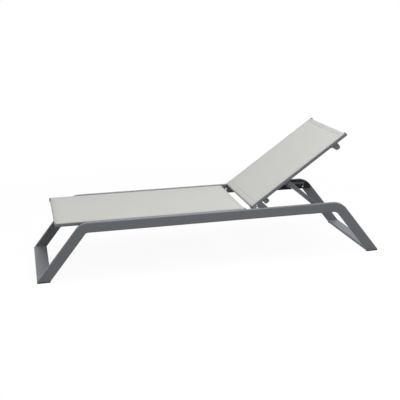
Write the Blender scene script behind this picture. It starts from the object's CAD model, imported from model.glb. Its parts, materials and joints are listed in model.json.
# %% [markdown]
# # A sun lounger, dressed piece by piece
# The lounger has two side frames of bent flat tube, a stretched fabric seat and a fabric
# backrest that a folding stay holds up. Its metal and plastic pieces come as finished
# solids, each in its place, with the frame that this script loads.
#
# They could be modelled once more here, but then two models would have to be kept alike.
# So the solids stay, and this script gives every surface its finish. Only the two cloths
# and their stitches are modelled here, because a solid can't show how cloth hangs.

# %% Load the frame
import json
import math

import bmesh
import bpy
from mathutils import Matrix, Vector


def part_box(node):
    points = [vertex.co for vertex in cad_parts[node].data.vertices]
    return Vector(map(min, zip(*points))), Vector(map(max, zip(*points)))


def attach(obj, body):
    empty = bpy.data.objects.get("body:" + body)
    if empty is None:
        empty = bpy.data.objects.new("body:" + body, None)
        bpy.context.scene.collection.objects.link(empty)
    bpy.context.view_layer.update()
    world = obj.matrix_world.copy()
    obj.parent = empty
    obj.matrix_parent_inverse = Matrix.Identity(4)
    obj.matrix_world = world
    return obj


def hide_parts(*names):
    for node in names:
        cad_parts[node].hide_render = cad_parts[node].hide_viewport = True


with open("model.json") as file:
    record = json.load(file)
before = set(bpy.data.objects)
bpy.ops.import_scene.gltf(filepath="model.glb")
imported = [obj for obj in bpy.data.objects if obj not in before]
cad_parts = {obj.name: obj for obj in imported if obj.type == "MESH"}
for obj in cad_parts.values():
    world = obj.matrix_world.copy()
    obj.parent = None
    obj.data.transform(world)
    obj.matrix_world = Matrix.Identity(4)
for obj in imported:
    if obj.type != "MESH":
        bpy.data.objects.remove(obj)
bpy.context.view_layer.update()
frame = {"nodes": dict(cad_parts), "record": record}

# %% [markdown]
# ## The camera
# The photograph was taken from the lounger's left side, near the foot end, from above
# seat height. A camera could be turned by eye until the picture looks right. Here its
# place, lens and turns were fitted to edges measured on the photograph, because a small
# error in one of them bends all the proportions.
#
# The turns read like a photographer's own: the camera first looks along +Y, then turns
# towards the head end, tips down and rolls by half a degree. A small shift moves the
# middle of the lens to its place in the picture.

# %% Camera
camera_place = Vector((-1.0078, -3.9849, 1.5275))
camera_turn = math.radians(13.817)
camera_tip = math.radians(15.936)
camera_roll = math.radians(-0.448)
picture_width = 400
focal_pixels = 727.07
middle_pixel = (199.47, 192.82)


def in_scene(name, data):
    """A new object at the origin that shows this data."""
    made = bpy.data.objects.new(name, data)
    bpy.context.scene.collection.objects.link(made)
    return made


camera_data = bpy.data.cameras.new("photo_camera")
camera_data.sensor_width = 36
camera_data.lens = focal_pixels / picture_width * camera_data.sensor_width
camera_data.shift_x = 0.5 - middle_pixel[0] / picture_width
camera_data.shift_y = middle_pixel[1] / picture_width - 0.5
camera = in_scene("photo_camera", camera_data)
level_look = Matrix.Rotation(math.pi / 2 - camera_tip, 4, "X")
turned = Matrix.Rotation(-camera_turn, 4, "Z") @ level_look @ Matrix.Rotation(camera_roll, 4, "Z")
camera.matrix_world = Matrix.Translation(camera_place) @ turned
bpy.context.scene.camera = camera
bpy.context.scene.view_settings.view_transform = "Standard"
print("lens", round(camera_data.lens, 2), "mm")
print("shift", round(camera_data.shift_x, 4), round(camera_data.shift_y, 4))

# %% [markdown]
# ## Small helpers for materials
# A material is a network of nodes. It could be wired by hand in the Shader Editor. In a
# script, a few helpers keep the wiring short enough to read: one makes a node and feeds
# its inputs, one does sums on the values between them, and one mixes two colours.

# %% Nodes and what feeds them
def feed(tree, target, values):
    """Feeds a node's inputs: a socket is linked, a plain value is set."""
    for title, value in values.items():
        if isinstance(value, bpy.types.NodeSocket):
            tree.links.new(value, target.inputs[title])
        else:
            target.inputs[title].default_value = value


def node(tree, kind, inputs=(), **settings):
    """A node of that kind. inputs pairs a socket's name or number with what feeds it."""
    made = tree.nodes.new(kind)
    for key, value in settings.items():
        setattr(made, key, value)
    feed(tree, made, dict(inputs))
    return made


def sums(tree, operation, *values):
    """The result of one Math node."""
    return node(tree, "ShaderNodeMath", enumerate(values), operation=operation).outputs[0]


def blend(tree, factor, low, high):
    """A colour between two colours. A Mix node keeps its colour sockets at 6, 7 and 2."""
    return node(tree, "ShaderNodeMix", {0: factor, 6: low, 7: high}, data_type="RGBA").outputs[2]


# %% [markdown]
# Two more helpers start the two kinds of network. A finish is a material with a
# Principled BSDF, the shader that suits almost any surface. An effect is a node group, a
# network with named inputs and outputs that several finishes can share.

# %% Finishes and effects
FLOAT, VECTOR = "NodeSocketFloat", "NodeSocketVector"


def new_finish(name):
    """A material, its node tree and its Principled BSDF."""
    material = bpy.data.materials.new(name)
    material.use_nodes = True
    tree = material.node_tree
    return material, tree, tree.nodes["Principled BSDF"]


def new_effect(name, inputs, outputs):
    """An empty node group: inputs are (name, kind, value), outputs are (name, kind)."""
    group = bpy.data.node_groups.new(name, "ShaderNodeTree")
    for title, kind, value in inputs:
        group.interface.new_socket(title, in_out="INPUT", socket_type=kind).default_value = value
    for title, kind in outputs:
        group.interface.new_socket(title, in_out="OUTPUT", socket_type=kind)
    return group, group.nodes.new("NodeGroupInput"), group.nodes.new("NodeGroupOutput")


# %% [markdown]
# ## Coating grain
# Powder coat and moulded plastic share one look: a faint cloudiness in the colour and a
# fine grain that breaks up reflections. A picture of such a surface could be wrapped
# round each piece, but it would need unwrapping and would repeat. Noise on Object
# coordinates needs neither, and the grain keeps its real size on every piece.

# %% Cloud and grain
clouds_per_metre = 9.0
coating, start, end = new_effect(
    "coating_grain",
    [("Grain per metre", FLOAT, 700.0), ("Grain depth", FLOAT, 0.1), ("Edge radius", FLOAT, 0.001)],
    [("Cloud", FLOAT), ("Edge", FLOAT), ("Normal", VECTOR)],
)
on_piece = node(coating, "ShaderNodeTexCoord").outputs["Object"]
cloud = node(coating, "ShaderNodeTexNoise", {"Vector": on_piece, "Scale": clouds_per_metre, "Detail": 4.0})
grain_scale = start.outputs["Grain per metre"]
grain = node(coating, "ShaderNodeTexNoise", {"Vector": on_piece, "Scale": grain_scale, "Detail": 2.0})
print("effect", coating.name, "takes", [s.name for s in start.outputs if s.name])

# %% [markdown]
# ## Softened edges
# No tube or moulding has a perfectly sharp edge, and a coat is thinner and a shade lighter
# there. The edges could be rounded in the mesh, which would change solids that others
# rely on. A Bevel node rounds only the light on them. Its normal leaves the face's own
# normal near an edge, so the angle between the two also shows where the edges are.

# %% Edges of the coating
edge_gain = 4.0
edge_softness = 0.1
grain_height = 0.0004
soft_edge = node(coating, "ShaderNodeBevel", {"Radius": start.outputs["Edge radius"]}, samples=4)
face_normal = node(coating, "ShaderNodeNewGeometry").outputs["True Normal"]
both_normals = {0: soft_edge.outputs["Normal"], 1: face_normal}
facing = node(coating, "ShaderNodeVectorMath", both_normals, operation="DOT_PRODUCT").outputs["Value"]
off_face = sums(coating, "MULTIPLY", sums(coating, "SUBTRACT", 1.0, facing), edge_gain)
edge = sums(coating, "SMOOTH_MIN", off_face, 1.0, edge_softness)
grain_relief = {
    "Strength": start.outputs["Grain depth"],
    "Distance": grain_height,
    "Height": grain.outputs["Fac"],
    "Normal": soft_edge.outputs["Normal"],
}
bump = node(coating, "ShaderNodeBump", grain_relief)
feed(coating, end, {"Cloud": cloud.outputs["Fac"], "Edge": edge, "Normal": bump.outputs["Normal"]})
print("effect", coating.name, "with", len(coating.nodes), "nodes")

# %% [markdown]
# ## Powder-coated metal
# The side frames, rails and bars are metal tube under a satin dark-grey powder coat.
# Metallic could be turned up, since there is metal below, but light never reaches it: a
# coat is a dielectric, the colour is the pigment's, and the satin roughness spreads the
# reflections. So Metallic stays at zero. The three tones are read as dark cloud, light
# cloud and edge.

# %% Coated finishes
cloud_roughness = 0.12


def coated(name, tones, roughness, gloss, grain_size, grain_depth, edge_radius):
    """A coated or moulded finish between two tones, with a third along its edges."""
    dark, light, edge_tone = [(*tone, 1) for tone in tones]
    material, tree, shader = new_finish(name)
    grain_values = {"Grain per metre": grain_size, "Grain depth": grain_depth, "Edge radius": edge_radius}
    effect = node(tree, "ShaderNodeGroup", {}, node_tree=coating)
    feed(tree, effect, grain_values)
    body = blend(tree, effect.outputs["Cloud"], dark, light)
    smoothest = roughness - cloud_roughness / 2
    finish = {
        "Base Color": blend(tree, effect.outputs["Edge"], body, edge_tone),
        "Roughness": sums(tree, "MULTIPLY_ADD", effect.outputs["Cloud"], cloud_roughness, smoothest),
        "Normal": effect.outputs["Normal"],
        "Specular IOR Level": gloss,
    }
    feed(tree, shader, finish)
    print("finish", name, "roughness about", roughness)
    return material


frame_tones = (0.2, 0.213, 0.232), (0.232, 0.246, 0.268), (0.28, 0.295, 0.32)
frame_paint = coated(
    "frame_paint", frame_tones, roughness=0.42, gloss=0.3, grain_size=900, grain_depth=0.12, edge_radius=0.0012
)

# %% [markdown]
# ## Moulded plastic
# The glides, the rails' end caps and the racks are black plastic, the spreaders' plugs
# are a warm grey, and the bushes are off-white. Each could have a material of its own,
# but a moulding's surface differs from the coat's only in tone, a finer grain and less
# gloss, so the same function makes them.

# %% Plastic finishes
black_tones = (0.009, 0.009, 0.01), (0.014, 0.014, 0.015), (0.03, 0.03, 0.031)
grey_tones = (0.2, 0.195, 0.185), (0.24, 0.235, 0.225), (0.28, 0.275, 0.265)
bush_tones = (0.62, 0.61, 0.58), (0.7, 0.69, 0.66), (0.74, 0.73, 0.7)
black_plastic = coated(
    "black_plastic", black_tones, roughness=0.5, gloss=0.2, grain_size=1400, grain_depth=0.2, edge_radius=0.0008
)
grey_plastic = coated(
    "grey_plastic", grey_tones, roughness=0.5, gloss=0.3, grain_size=1400, grain_depth=0.2, edge_radius=0.0008
)
bush_plastic = coated(
    "bush_plastic", bush_tones, roughness=0.45, gloss=0.5, grain_size=1400, grain_depth=0.1, edge_radius=0.0004
)

# %% [markdown]
# ## Zinc-plated steel
# Bolts, screws and the stay's rod are plated steel. It is a bare metal, so Metallic is one
# and the base colour tints the reflection. A plain grey would look like foil, because
# real plating is blotchy and drawn rod carries fine lines. The lines could be modelled,
# but they are a hundredth of a millimetre deep, so a noise that is stretched along one
# axis feeds a Bump node instead.

# %% Steel finish
line_stretch = (1.0, 0.06, 1.0)
lines_per_metre = 900.0
blotches_per_metre = 60.0
steel_dark, steel_light = (0.44, 0.45, 0.47, 1), (0.6, 0.61, 0.62, 1)
steel_smoothest, blotch_roughness = 0.24, 0.2
steel, tree, shader = new_finish("steel")
on_piece = node(tree, "ShaderNodeTexCoord").outputs["Object"]
stretched = node(tree, "ShaderNodeMapping", {"Vector": on_piece, "Scale": line_stretch}).outputs[0]
drawn = node(tree, "ShaderNodeTexNoise", {"Vector": stretched, "Scale": lines_per_metre, "Detail": 3.0})
blotch = node(tree, "ShaderNodeTexNoise", {"Vector": on_piece, "Scale": blotches_per_metre, "Detail": 3.0})
lines = node(tree, "ShaderNodeBump", {"Strength": 0.15, "Distance": 0.0002, "Height": drawn.outputs["Fac"]})
steel_look = {
    "Base Color": blend(tree, blotch.outputs["Fac"], steel_dark, steel_light),
    "Metallic": 1.0,
    "Roughness": sums(tree, "MULTIPLY_ADD", blotch.outputs["Fac"], blotch_roughness, steel_smoothest),
    "Normal": lines.outputs["Normal"],
}
feed(tree, shader, steel_look)
print("finish", steel.name, "with", len(tree.nodes), "nodes")

# %% [markdown]
# ## Woven mesh
# The panels are a mesh of coated yarns, woven two over two. Each has hundreds of yarns
# both ways, too many to model, and at arm's length they read as a fine even grain. So the
# weave is drawn in the material, on the cloth's own UV map. That map is in metres, with u
# across the panel and v along it, so the yarns keep their size and follow the cloth round
# the hems.
#
# Each set of yarns is a row of round ridges, which is a sine without its sign. Counting
# yarns in pairs and adding the two counts gives a chequered pattern: where it is one, the
# lengthwise yarns lie on top, and elsewhere the crosswise ones do.

# %% Weave effect
weave, start, end = new_effect(
    "yarn_weave",
    [("Yarns per metre", FLOAT, 500.0)],
    [("Height", FLOAT), ("Over", FLOAT), ("Cloud", FLOAT), ("Slub", FLOAT)],
)
on_cloth = node(weave, "ShaderNodeUVMap").outputs["UV"]
to_yarns = {0: on_cloth, "Scale": start.outputs["Yarns per metre"]}
counted = node(weave, "ShaderNodeVectorMath", to_yarns, operation="SCALE").outputs[0]
yarn = node(weave, "ShaderNodeSeparateXYZ", {0: counted}).outputs
waves = [sums(weave, "SINE", sums(weave, "MULTIPLY", yarn[i], math.pi)) for i in (0, 1)]
ridges = [sums(weave, "ABSOLUTE", wave) for wave in waves]
pairs = [sums(weave, "FLOOR", sums(weave, "MULTIPLY", yarn[i], 0.5)) for i in (0, 1)]
over = sums(weave, "PINGPONG", sums(weave, "ADD", *pairs), 1.0)
lengthwise = sums(weave, "MULTIPLY", ridges[0], over)
crosswise = sums(weave, "MULTIPLY", ridges[1], sums(weave, "SUBTRACT", 1.0, over))
height = sums(weave, "ADD", lengthwise, crosswise)
print("effect", weave.name, "draws", len(ridges), "sets of yarns")

# %% [markdown]
# A machine-made mesh isn't quite even. Some yarns are a little thicker or paler along
# their whole length, which weavers call slubs, and the colour drifts over a hand's width.
# Both are noise. The slubs' noise is squeezed across the cloth and stretched along it, so
# that it draws long thin streaks.

# %% Slubs and drift
cloth_clouds_per_metre = 5.0
slub_squeeze = (260.0, 4.0, 1.0)
cloud = node(weave, "ShaderNodeTexNoise", {"Vector": on_cloth, "Scale": cloth_clouds_per_metre, "Detail": 3.0})
long_yarn = node(weave, "ShaderNodeMapping", {"Vector": on_cloth, "Scale": slub_squeeze}).outputs[0]
slub = node(weave, "ShaderNodeTexNoise", {"Vector": long_yarn, "Scale": 1.0, "Detail": 2.0})
feed(weave, end, {"Height": height, "Over": over, "Cloud": cloud.outputs["Fac"], "Slub": slub.outputs["Fac"]})
print("effect", weave.name, "with", len(weave.nodes), "nodes")

# %% [markdown]
# ## Mesh fabric
# The fabric's colour comes from its coated yarns, one tone lengthwise and one across, and
# darker in the dips between them. An open mesh also lets what is behind it through a
# little. Real holes would cost far too much, so the cloth carries a number on each
# vertex, called backing, that says how dark its background is, and the finish is toned by
# it. Coated yarn is nearly matt, so the roughness is high and the gloss low.

# %% Mesh fabric finish
yarns_per_metre = 620.0
warp_tone, weft_tone = (0.60, 0.605, 0.575, 1), (0.655, 0.66, 0.63, 1)
slub_contrast, cloud_contrast, dip_contrast, backing_contrast = 0.10, 0.06, 0.22, 0.07
fabric, tree, shader = new_finish("mesh_fabric")
effect = node(tree, "ShaderNodeGroup", {}, node_tree=weave)
feed(tree, effect, {"Yarns per metre": yarns_per_metre})
shade = sums(tree, "MULTIPLY_ADD", effect.outputs["Slub"], slub_contrast, 1 - slub_contrast / 2)
uneven = sums(tree, "MULTIPLY_ADD", effect.outputs["Cloud"], cloud_contrast, shade)
dips = sums(tree, "MULTIPLY_ADD", effect.outputs["Height"], dip_contrast, 1 - dip_contrast)
backed = node(tree, "ShaderNodeAttribute", attribute_name="backing").outputs["Fac"]
shown = sums(tree, "MULTIPLY_ADD", backed, -backing_contrast, 1.0)
light = sums(tree, "MULTIPLY", sums(tree, "MULTIPLY", dips, uneven), shown)
yarns = blend(tree, effect.outputs["Over"], warp_tone, weft_tone)
toned = node(tree, "ShaderNodeVectorMath", {0: yarns, "Scale": light}, operation="SCALE")
relief = node(tree, "ShaderNodeBump", {"Strength": 0.2, "Distance": 0.0004, "Height": effect.outputs["Height"]})
fabric_look = {
    "Base Color": toned.outputs[0],
    "Roughness": 0.75,
    "Specular IOR Level": 0.3,
    "Normal": relief.outputs["Normal"],
}
feed(tree, shader, fabric_look)
print("finish", fabric.name, "with", round(1000 / yarns_per_metre, 2), "mm between yarns")

# %% [markdown]
# ## Sewing thread
# The hems are sewn with a strong twisted thread, a little darker than the cloth. Its twist
# could be a helix for each stitch, but a stitch is under 3 mm long, so slanting bands of
# two tones are enough.

# %% Thread finish
thread_dark, thread_light = (0.50, 0.50, 0.47, 1), (0.62, 0.62, 0.59, 1)
thread, tree, shader = new_finish("sewing_thread")
on_piece = node(tree, "ShaderNodeTexCoord").outputs["Object"]
bands = {"Vector": on_piece, "Scale": 900.0, "Distortion": 1.0}
twist = node(tree, "ShaderNodeTexWave", bands, bands_direction="DIAGONAL").outputs["Fac"]
feed(tree, shader, {"Base Color": blend(tree, twist, thread_dark, thread_light), "Roughness": 0.55})
print("finish", thread.name)

# %% [markdown]
# ## Finish the metal and plastic pieces
# Each solid could be given its material by name, one line for each of 44. The packed
# record already says which material slot every piece has, so one loop does it and can't
# miss any.

# %% Paint the frame
finishes = {
    "frame_paint": frame_paint,
    "fabric": fabric,
    "black_plastic": black_plastic,
    "grey_plastic": grey_plastic,
    "bush_plastic": bush_plastic,
    "steel": steel,
}
for row in frame["record"]["subparts"]:
    for slot in frame["nodes"][row["node"]].material_slots:
        slot.material = finishes[row["material_slot"]]

# %% [markdown]
# ## Where the two panels go
# Each panel is one cloth. It goes round a cross tube at both ends, where it is sewn into a
# hem, and its long edges carry a cord that sits in a groove of the rails. Both panels are
# alike but for their length and tilt, so they are made by the same functions, in axes of
# the panel's own: x along it from the front end of its rails, z up from their bottom.
#
# The sizes could be typed in, but then a change to the solids would leave the cloth
# behind. Whatever can be measured on a solid is measured.

# %% Panel sizes
rail_low, rail_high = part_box("seat_rail_left")
rail_width = rail_high.y - rail_low.y
rail_height = rail_high.z - rail_low.z
rail_inner = -rail_high.y
tube_low, tube_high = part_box("seat_front_tube")
tube_width = tube_high.x - tube_low.x
tube_x = (tube_low.x + tube_high.x) / 2 - rail_low.x
tube_corner = 0.008
groove_inset, groove_depth = 0.0048, 0.005
groove_y = rail_inner + rail_width - groove_inset
groove_z = rail_height - groove_depth
print("rails", round(rail_width, 4), "wide,", round(rail_height, 4), "high, tube", round(tube_width, 4), "wide")

# %% Panel places
back_tilt = math.radians(35.2)
back_low, back_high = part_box("back_rail_left")
back_shift = rail_height * math.sin(back_tilt)
back_length = (back_high.x - back_low.x - back_shift) / math.cos(back_tilt)
seat_panel = (Vector((rail_low.x, 0, rail_low.z)), 0.0, rail_high.x - rail_low.x)
back_panel = (Vector((back_low.x + back_shift, 0, back_low.z)), back_tilt, back_length)


def panel_matrix(panel):
    """From a panel's own axes to the lounger's."""
    place, tilt, _ = panel
    return Matrix.Translation(place) @ Matrix.Rotation(-tilt, 4, "Y")


for title, panel in (("seat", seat_panel), ("backrest", back_panel)):
    print(title, "panel: start", [round(v, 4) for v in panel[0]], "length", round(panel[2], 4))

# %% [markdown]
# ## The cloth's lengthwise line
# Seen from the side, a panel's cloth is one long line: from the raw edge inside the front
# hem, round the front tube, along the top, round the rear tube and back to the other raw
# edge. A plane could be bent to this shape, but folding it twice at each end is awkward.
# It is easier to start with one vertex and lead its tip along the path. Extruding a
# vertex makes a straight piece, and spinning it by a quarter turn makes a bend.

# %% Leading a line
bend_steps = 6
print("a bend takes", bend_steps, "steps")


def run_to(bm, tip, x, z, steps=1):
    """Carries the tip of a line straight to a place, in equal steps."""
    step = (Vector((x, tip.co.y, z)) - tip.co) / steps
    for _ in range(steps):
        tip = bmesh.ops.extrude_vert_indiv(bm, verts=[tip])["verts"][0]
        bmesh.ops.translate(bm, verts=[tip], vec=step)
    return tip


def turn(bm, tip, x, z):
    """Carries the tip of a line a quarter turn round a centre."""
    centre = (x, tip.co.y, z)
    quarter = {"axis": (0, 1, 0), "angle": math.pi / 2, "steps": bend_steps, "use_duplicate": False}
    around = bmesh.ops.spin(bm, geom=[tip], cent=centre, **quarter)
    return [g for g in around["geom_last"] if isinstance(g, bmesh.types.BMVert)][0]


# %% [markdown]
# Coated mesh is a little over a millimetre thick. The line is drawn in the middle of that
# thickness, just off the metal, and the cloth gets its thickness at the very end. A hem
# needs room for two layers, so the lower one lies a hair below the upper one. Two layers
# in the same place would flicker through each other. The rows of faces are close at the
# seams, where the cloth bends, and 9 mm apart elsewhere.

# %% Cloth sizes
cloth = 0.0012
cloth_offset = 0.0011
layer_gap = 0.0002
flap = 0.008
side_gap = 0.0005
seam_clearance = 0.002
seam_x = tube_x + tube_width / 2 + seam_clearance
trough_half = 0.004
seam_rows = 4
row_pitch = 0.009
top_z = rail_height + cloth_offset
under_z = top_z - cloth - layer_gap
tube_flat = tube_width / 2 - tube_corner
tube_reach = tube_corner + cloth_offset
bend_low, bend_high = tube_corner, rail_height - tube_corner
print("cloth", cloth, "thick, seams", round(seam_x, 4), "from the rails' ends, top at", round(top_z, 4))


# %% Round the tubes
def round_under(bm, tip, x):
    """Carries the tip round the underside of a cross tube, from its far side to its near side."""
    tip = turn(bm, tip, x + tube_flat, bend_low)
    tip = run_to(bm, tip, x - tube_flat, bend_low - tube_reach, 2)
    return turn(bm, tip, x - tube_flat, bend_low)


def cloth_line(bm, length):
    """The line from one hem's raw edge, round both tubes, to the other hem's raw edge."""
    far_x, far_seam = length - tube_x, length - seam_x
    tip = bm.verts.new((seam_x + flap, side_gap - rail_inner, under_z))
    tip = run_to(bm, tip, seam_x, under_z, 2)
    tip = run_to(bm, tip, tube_x + tube_flat + tube_reach, bend_low, 2)
    tip = round_under(bm, tip, tube_x)
    tip = run_to(bm, tip, tube_x - tube_flat - tube_reach, bend_high)
    tip = turn(bm, tip, tube_x - tube_flat, bend_high)
    tip = run_to(bm, tip, seam_x - trough_half, top_z, 3)
    tip = run_to(bm, tip, seam_x + trough_half, top_z, seam_rows)
    tip = run_to(bm, tip, far_seam - trough_half, top_z, round(length / row_pitch))
    tip = run_to(bm, tip, far_seam + trough_half, top_z, seam_rows)
    tip = run_to(bm, tip, far_x + tube_flat, top_z, 3)
    tip = turn(bm, tip, far_x + tube_flat, bend_high)
    tip = run_to(bm, tip, far_x + tube_flat + tube_reach, bend_low)
    tip = round_under(bm, tip, far_x)
    tip = run_to(bm, tip, far_seam, under_z, 2)
    run_to(bm, tip, far_seam - flap, under_z, 2)


# %% [markdown]
# A UV map could be made by unwrapping the finished mesh, but then its size and direction
# would be guesses. Instead each vertex notes how far along the cloth it lies. Walking the
# line once, from its first vertex, gives the distance along it, and the whole walk is the
# length to which the cloth is cut.

# %% Distance along the line
def number_line(bm, along):
    """Writes each vertex's distance from the line's start into a layer, and hands back the last."""
    bm.verts.ensure_lookup_table()
    here, before, walked = bm.verts[0], None, 0.0
    while here:
        here[along] = walked
        onward = [e.other_vert(here) for e in here.link_edges if e.other_vert(here) is not before]
        if onward:
            walked += (onward[0].co - here.co).length
        here, before = (onward[0] if onward else None), here
    return walked


# %% [markdown]
# ## From a line to a cloth
# The line is swept across the panel, and its long edges are then carried over the rails
# and down into the grooves. A sweep in bmesh is a spin with no angle and a step: it
# carries a row of edges on, and hands back the last row, so the next sweep can go on from
# there.

# %% Sweep helpers
def sweep(bm, edges, step, steps=1):
    """Sweeps a row of edges along, and hands back its last row of edges."""
    swept = bmesh.ops.spin(
        bm, geom=edges, cent=(0, 0, 0), axis=(0, 1, 0), dvec=step, angle=0.0, steps=steps, use_duplicate=False
    )
    return [g for g in swept["geom_last"] if isinstance(g, bmesh.types.BMEdge)]


def verts_of(edges):
    """The vertices that a row of edges joins."""
    return {v for e in edges for v in e.verts}


# %% [markdown]
# ## The edges in their grooves
# A cord in a sewn tunnel keeps each long edge of the cloth from slipping out of its
# groove. From outside only the cloth shows, going over the rail and down the slot. The
# edge could simply stop at the slot, but a close view would look into an empty groove.
# So the cloth goes down it, and a spin by 300 degrees rolls it up round the cord's centre.

# %% Path of a wing
groove_lip = 0.0008
rail_shoulder = 0.0015
bead_radius = 0.002
bead_turn = math.radians(300)
bead_steps = 10
wing_path = (
    (rail_inner + rail_shoulder, top_z),
    (rail_inner + rail_width / 2, top_z),
    (groove_y - groove_lip, top_z),
    (groove_y, top_z - groove_lip),
    (groove_y, groove_z + bead_radius),
)
print("a wing has", len(wing_path), "rows, and", bead_steps, "round its cord")


# %% Make a wing
def top_edges(bm, y):
    """The edges along one side of the cloth's top, but not those of its hems' lower layers."""
    above = top_z - cloth / 2
    return [e for e in bm.edges if all(abs(v.co.y - y) < side_gap / 2 and v.co.z > above for v in e.verts)]


def wing(bm, side, across):
    """Carries one long edge over its rail, down its groove and round its cord. Hands back the width used."""
    last_y, last_z = rail_inner - side_gap, top_z
    used = last_y
    row = top_edges(bm, side * last_y)
    for y, z in wing_path:
        row = sweep(bm, row, (0, side * (y - last_y), 0))
        used += math.hypot(y - last_y, z - last_z)
        last_y, last_z = y, z
        for v in verts_of(row):
            v.co.z = z
            v[across] = side * used
    centre = (0, side * groove_y, groove_z)
    rolled = {"axis": (1, 0, 0), "angle": -side * bead_turn, "steps": bead_steps, "use_duplicate": False}
    around = bmesh.ops.spin(bm, geom=row, cent=centre, **rolled)
    used += bead_turn * bead_radius
    for g in around["geom_last"]:
        if isinstance(g, bmesh.types.BMVert):
            g[across] = side * used
    return used


# %% [markdown]
# ## Tension
# A stretched cloth isn't dead flat. It hangs a few millimetres between the rails, each
# seam pulls it into a shallow trough, and the sewing gathers it into short soft puckers
# that fade within a hand's width. A cloth simulation could find such a shape, but it
# would take minutes to find a movement of 2 mm. Here each effect is one smooth term that
# lowers the cloth, which shows as well and is quick to adjust.

# %% How the cloth gives
sag_reach = 0.14
pucker_near, pucker_far = 0.012, 0.09
calm_edge = 0.03
ripple_turns, drift, drift_turns, slow_turns, slant = 64, 1.7, 23, 31, 40
slack_z = rail_height - tube_corner
print("puckers fade", pucker_far, "m from the seam, sag is full at", sag_reach)


def ease(t):
    """A soft step from 0 to 1."""
    t = min(max(t, 0.0), 1.0)
    return t * t * (3 - 2 * t)


def pucker_wave(y, off_seam, phase):
    """An uneven ripple along a seam, from -1 to 1, that slants as it leaves the seam."""
    ripple = math.sin(ripple_turns * y + drift * math.sin(drift_turns * y))
    return ripple * math.sin(slow_turns * y + phase + slant * off_seam)


def tension(bm, length, sag, pucker, seam_depth):
    """Lowers the top of the cloth: the sag between the rails, the seams and their puckers."""
    for v in bm.verts:
        if v.co.z < slack_z or abs(v.co.y) > rail_inner:
            continue
        carried = min((v.co.z - slack_z) / (under_z - slack_z), 1.0)
        off_seam = min(abs(v.co.x - seam_x), abs(length - v.co.x - seam_x))
        past_seam = min(v.co.x, length - v.co.x) - seam_x
        crown = 1 - (v.co.y / rail_inner) ** 2
        drop = sag * crown * ease(past_seam / sag_reach)
        trough = seam_depth * max(0.0, 1 - off_seam / trough_half)
        fade = ease(past_seam / pucker_near) * (1 - ease(past_seam / pucker_far))
        ripple = pucker * fade * (1 + pucker_wave(v.co.y, past_seam, length)) / 2
        calm = ease((rail_inner - abs(v.co.y)) / calm_edge)
        v.co.z -= carried * (drop + calm * (trough + ripple))


# %% [markdown]
# ## What lies behind the mesh
# Where the cloth lies on a rail or a tube, the dark metal shows through it a little, and
# where it is free, the ground or the sky does. That could be left to transparency, but
# light that passes through thousands of holes makes a noisy picture. The number called
# backing stands for it: above zero is a darker background, below zero a lighter one. The
# folded ends, where two layers meet at a sharp bend, get a darker tone of their own.

# %% Backing
tube_margin, rail_margin, turned_margin = 0.006, 0.002, 0.002


def mark_backing(bm, backing, length, on_metal, in_fold, in_open):
    """Writes how dark the background of each vertex is."""
    for v in bm.verts:
        off_tube = min(abs(v.co.x - tube_x), abs(length - v.co.x - tube_x)) - tube_flat
        off_rail = rail_inner - abs(v.co.y)
        covered = 1 - ease(min(off_tube / tube_margin, off_rail / rail_margin))
        turned_down = ease((top_z - v.co.z) / turned_margin)
        v[backing] = on_metal * covered + in_fold * turned_down + in_open * (1 - covered)


# %% [markdown]
# ## Make the panels
# Each panel now takes a few calls: draw the line, number it, sweep it, add the wings, mark
# the backing and let it give. The noted distances become the UV map. The thickness could
# be modelled as a second layer, but a Solidify modifier adds it evenly and closes the
# edges. The normals are made to agree first, because Solidify builds along them.

# %% From a bmesh to a piece
def finished(bm, name, panel, finish):
    """Moves what was modelled in a panel's axes to its place, and makes it a piece."""
    bmesh.ops.transform(bm, matrix=panel_matrix(panel), verts=bm.verts[:])
    mesh = bpy.data.meshes.new(name)
    bm.to_mesh(mesh)
    bm.free()
    mesh.materials.append(finish)
    return in_scene(name, mesh)


# %% One panel's cloth
columns = 62
inner_width = 2 * (rail_inner - side_gap)
print(columns, "columns of", round(inner_width / columns, 4), "m")


def panel_cloth(name, panel, give, background):
    """One panel's cloth as a piece, with a UV map in metres, its flat size and flat area."""
    length = panel[2]
    bm = bmesh.new()
    along, across, backing = [bm.verts.layers.float.new(title) for title in ("along", "across", "backing")]
    cloth_line(bm, length)
    cut_length = number_line(bm, along)
    sweep(bm, bm.edges[:], (0, inner_width / columns, 0), columns)
    for v in bm.verts:
        v[across] = v.co.y
    cut_width = sum(wing(bm, side, across) for side in (-1, 1))
    mark_backing(bm, backing, length, **background)
    tension(bm, length, **give)
    uv = bm.loops.layers.uv.new("cloth")
    for face in bm.faces:
        face.smooth = True
        for loop in face.loops:
            loop[uv].uv = (loop.vert[across], loop.vert[along])
    bmesh.ops.recalc_face_normals(bm, faces=bm.faces[:])
    piece = finished(bm, name, panel, fabric)
    shell = piece.modifiers.new("cloth thickness", "SOLIDIFY")
    shell.thickness = cloth
    shell.offset = 0.0
    top_length = length - 2 * (tube_x - tube_width / 2)
    area = top_length * cut_width + (cut_length - top_length) * inner_width
    print(name, "cut", round(cut_width, 3), "x", round(cut_length, 3), "m, faces", len(piece.data.polygons))
    return piece, (cut_width, cut_length), area


# %% [markdown]
# The seat is longer and lies flat, so it sags a little more. The backrest's seams are
# pulled in harder, and its hem shows wrinkles in the photograph. The seat is seen against
# the shade under it, and the backrest against the bright ground behind it.

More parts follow.
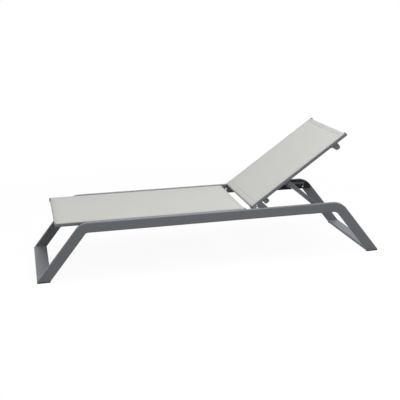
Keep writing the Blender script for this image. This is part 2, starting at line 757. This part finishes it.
# %% Seat and backrest
seat_give = {"sag": 0.0022, "pucker": 0.00025, "seam_depth": 0.0004}
seat_background = {"on_metal": 1.0, "in_fold": 0.0, "in_open": 0.2}
back_give = {"sag": 0.0018, "pucker": 0.0004, "seam_depth": 0.0012}
back_background = {"on_metal": 0.1, "in_fold": 3.0, "in_open": -0.8}
seat_cloth, seat_cut, seat_area = panel_cloth("seat_cloth", seat_panel, seat_give, seat_background)
back_cloth, back_cut, back_area = panel_cloth("backrest_cloth", back_panel, back_give, back_background)
for piece, body, old in ((seat_cloth, "base", "seat_sling"), (back_cloth, "backrest", "back_sling")):
    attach(piece, body)
    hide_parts(old)
    print(piece.name, "rides on", body, "and replaces", old)

# %% [markdown]
# ## Seams
# Two rows of lockstitch close each hem. What shows of a stitch is a short grain of thread,
# sunk a little into the cloth. A curve with a round profile could draw the whole seam,
# but it wouldn't dip into the cloth between stitches. So one small ball is squeezed to
# the form of a stitch and repeated. There are hundreds of them, so it has few faces.

# %% Stitch sizes
stitch_length = 0.0026
stitch_form = (0.14, 0.5, 0.12)
stitch_pitch = 0.004
stitch_rows = (-0.0014, 0.0014)
stitch_sunk = 0.0004
stitch_margin = 0.006
stitches_in_row = int(2 * (rail_inner - stitch_margin) / stitch_pitch)
stitch_scale = Matrix.Diagonal((*[share * stitch_length for share in stitch_form], 1))
print(stitches_in_row, "stitches in a row,", stitch_length, "long")


# %% Sew the hems
def stitches(name, panel, body):
    """All the stitches of one panel's two hems."""
    bm = bmesh.new()
    height = top_z + cloth / 2 - stitch_sunk
    rows = [seam + row for seam in (seam_x, panel[2] - seam_x) for row in stitch_rows]
    for x in rows:
        for i in range(stitches_in_row):
            y = (i - (stitches_in_row - 1) / 2) * stitch_pitch
            place = Matrix.Translation((x, y, height)) @ stitch_scale
            bmesh.ops.create_icosphere(bm, subdivisions=1, radius=1, matrix=place)
    piece = finished(bm, name, panel, thread)
    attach(piece, body)
    print(name, len(rows) * stitches_in_row, "stitches")
    return piece


seat_sewing = stitches("seat_stitches", seat_panel, "base")
back_sewing = stitches("backrest_stitches", back_panel, "backrest")

# %% [markdown]
# ## Say what the sheets are
# A cloth is more than its shape: someone who sews one, or lets one fall in a simulation,
# needs the size that it was cut to. That size comes from the distances noted above. The
# wings aren't there at the ends of the cloth, where it goes round the tubes, so the area
# is a little less than width times length.

# %% [markdown]
# ## The floor
# The lounger stands on a plain pale floor. Lamps bright enough to turn it white would wash
# out the pale cloth, so the floor's white is a glow that only shows to the camera and in
# reflections, mixed with a plain matt surface that keeps the soft shadow. Further off the
# glow takes over and reaches exactly one, so that the floor meets the white background
# without a line.
#
# A glowing surface counts as a lamp, and Cycles spends part of its light samples on it. It
# judges by the colour, so a dim colour with a large strength keeps the samples for the
# real lamps, and the picture has less grain.

# %% Background rays
def background_rays(tree):
    """1 for the rays that show the background: the camera's, reflected and passing ones."""
    path = node(tree, "ShaderNodeLightPath").outputs
    direct = sums(tree, "MAXIMUM", path["Is Camera Ray"], path["Is Glossy Ray"])
    return sums(tree, "MAXIMUM", direct, path["Is Transmission Ray"])


# %% Floor finish
near_floor, far_floor = 1.8, 4.2
near_glow, near_share = 1.25, 0.75
glow_grey = 0.1
floor_finish, tree, shader = new_finish("floor_finish")
feed(tree, shader, {"Base Color": (0.3, 0.3, 0.3, 1), "Roughness": 0.9, "Specular IOR Level": 0.0})
on_piece = node(tree, "ShaderNodeTexCoord").outputs["Object"]
away = node(tree, "ShaderNodeVectorMath", {0: on_piece}, operation="LENGTH").outputs["Value"]
fade = {"Value": away, "From Min": near_floor, "From Max": far_floor}
far = node(tree, "ShaderNodeMapRange", fade).outputs["Result"]
strength = sums(tree, "MULTIPLY_ADD", far, (1 - near_glow) / glow_grey, near_glow / glow_grey)
glow_look = {"Color": (glow_grey, glow_grey, glow_grey, 1), "Strength": strength}
glow = node(tree, "ShaderNodeEmission", glow_look).outputs[0]
glow_share = sums(tree, "MULTIPLY_ADD", far, 1 - near_share, near_share)
share = sums(tree, "MULTIPLY", background_rays(tree), glow_share)
mixed = node(tree, "ShaderNodeMixShader", {0: share, 1: shader.outputs[0], 2: glow}).outputs[0]
feed(tree, tree.nodes["Material Output"], {"Surface": mixed})
print("floor fades from", near_floor, "to", far_floor, "m")

# %% Floor
floor_half = 30
bm = bmesh.new()
bmesh.ops.create_grid(bm, x_segments=1, y_segments=1, size=floor_half)
floor_mesh = bpy.data.meshes.new("floor")
bm.to_mesh(floor_mesh)
bm.free()
floor_mesh.materials.append(floor_finish)
floor = in_scene("floor", floor_mesh)
print("floor", 2 * floor_half, "m wide")

# %% [markdown]
# ## The world
# The world is what lies beyond the floor. It could be one bright white for everything, but
# that would light the lounger from all sides and leave no shade. So the background is
# white for the rays that see it, and only a fifth as bright for the light that it gives.

# %% World
soft_strength = 0.2
world = bpy.data.worlds.new("studio")
bpy.context.scene.world = world
world.use_nodes = True
tree = world.node_tree
soft = tree.nodes["Background"]
feed(tree, soft, {"Color": (1, 1, 1, 1), "Strength": soft_strength})
white = node(tree, "ShaderNodeBackground", {"Color": (1, 1, 1, 1), "Strength": 1.0})
seen = {0: background_rays(tree), 1: soft.outputs[0], 2: white.outputs[0]}
feed(tree, tree.nodes["World Output"], {"Surface": node(tree, "ShaderNodeMixShader", seen).outputs[0]})
print("world gives", soft_strength, "of white")

# %% [markdown]
# ## The lamps
# A studio lights a piece of furniture with large soft boxes. Small lamps or a sun would
# light it too, but they draw hard shadows. Four square area lamps stand round the
# lounger: the strongest, high above the head end, lights the cloths, one in front lights
# the near frame, and weak ones at the foot and behind soften the shade. Their powers were
# fitted to tones measured on the photograph.

# %% Lamps
def soft_light(name, place, size, power):
    """A square area lamp that faces the lounger's middle."""
    data = bpy.data.lights.new(name, "AREA")
    data.size = size
    data.energy = power
    way = lounger_middle - Vector(place)
    lamp = in_scene(name, data)
    lamp.matrix_world = Matrix.Translation(Vector(place)) @ way.to_track_quat("-Z", "Y").to_matrix().to_4x4()
    print(name, size, "m wide,", power, "W")


lounger_middle = Vector((0, 0, 0.3))
soft_light("head_light", (0.8, -0.5, 4.6), 2.4, 110)
soft_light("foot_light", (-2.6, -0.4, 2.8), 2.4, 14)
soft_light("front_light", (0.4, -2.6, 3.2), 2.0, 44)
soft_light("rear_light", (0.6, 3.4, 2.0), 2.0, 6)
